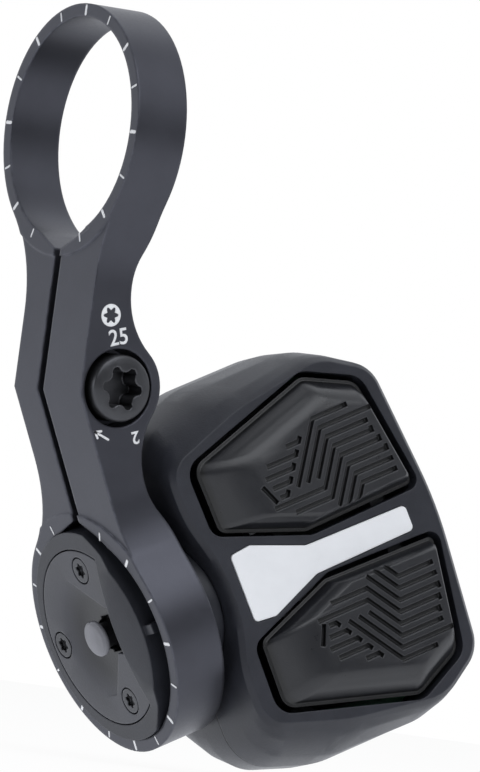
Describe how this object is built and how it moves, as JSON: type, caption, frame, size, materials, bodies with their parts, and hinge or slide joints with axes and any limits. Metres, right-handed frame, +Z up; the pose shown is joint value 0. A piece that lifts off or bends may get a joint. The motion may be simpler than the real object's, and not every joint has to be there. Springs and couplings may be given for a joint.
{
  "type": "electronic shifter",
  "caption": "Wireless handlebar shifter pod with two treaded paddles, held by a bent split clamp with a handlebar ring and a dial-marked pod ring.",
  "frame": {"origin": "centre of the handlebar bore, half way along the ring's width", "axes": "+X along the handlebar bore towards the pod, +Y to the back, +Z up"},
  "size_m": [0.049, 0.0288, 0.0734],
  "materials": {
    "clamp_metal": "dark anodised satin",
    "bolt_steel": "black oxide",
    "pin_steel": "ground",
    "housing_plastic": "fine moulded texture",
    "paddle_plastic": "satin moulded with tread",
    "key_plastic": "satin",
    "badge_white": "smooth",
    "seal_rubber": "matte",
    "board": "solder mask",
    "flex": "film",
    "switch_plastic": "moulded",
    "can_steel": "nickel plated",
    "contact_brass": "plated spring strip"
  },
  "bodies": {
    "clamp": {"bar_clamp": "clamp_metal", "clamp_bolt": "bolt_steel"},
    "pod": {"rear_housing": "housing_plastic", "front_cover": "housing_plastic", "end_cap": "housing_plastic", "badge_plate": "badge_white", "upper_hinge_pin": "pin_steel", "lower_hinge_pin": "pin_steel", "housing_seal": "seal_rubber", "cap_seal": "seal_rubber", "button_membrane": "seal_rubber", "housing_screws": "bolt_steel", "cap_screws": "bolt_steel", "main_board": "board", "function_board": "board", "function_flex": "flex", "upper_switch": "switch_plastic", "lower_switch": "switch_plastic", "function_switch": "switch_plastic", "radio_module": "can_steel", "coin_cell": "can_steel", "cell_contact_positive": "contact_brass", "cell_contact_negative": "contact_brass"},
    "upper_paddle": {"upper_button": "paddle_plastic"},
    "lower_paddle": {"lower_button": "paddle_plastic"},
    "function_key": {"function_button": "key_plastic"},
    "door": {"battery_door": "housing_plastic", "door_seal": "seal_rubber"}
  },
  "joints": [
    {"name": "pod_swivel", "type": "hinge", "parent": "clamp", "child": "pod", "pos_m": [0.01158, 0, -0.04825], "axis": [0.891, 0, 0.454], "continuous": true},
    {"name": "upper_press", "type": "hinge", "parent": "pod", "child": "upper_paddle", "pos_m": [0.02684, -0.00666, -0.03414], "axis": [-0.891, 0, -0.454], "range_deg": [0, 4], "stiffness_Nm_per_rad": 0.5, "springref_deg": -3.44},
    {"name": "lower_press", "type": "hinge", "parent": "pod", "child": "lower_paddle", "pos_m": [0.03068, -0.00827, -0.04167], "axis": [0.891, 0, 0.454], "range_deg": [0, 4], "stiffness_Nm_per_rad": 0.5, "springref_deg": -3.44},
    {"name": "function_press", "type": "slide", "parent": "pod", "child": "function_key", "axis": [0.891, 0, 0.454], "range_m": [0, 0.0005], "stiffness_N_per_m": 2500, "springref_m": -0.0003},
    {"name": "door_turn", "type": "hinge", "parent": "pod", "child": "door", "pos_m": [0.02914, 0.00982, -0.04141], "axis": [0.0851, 0.9823, -0.167], "range_deg": [0, 45]}
  ]
}
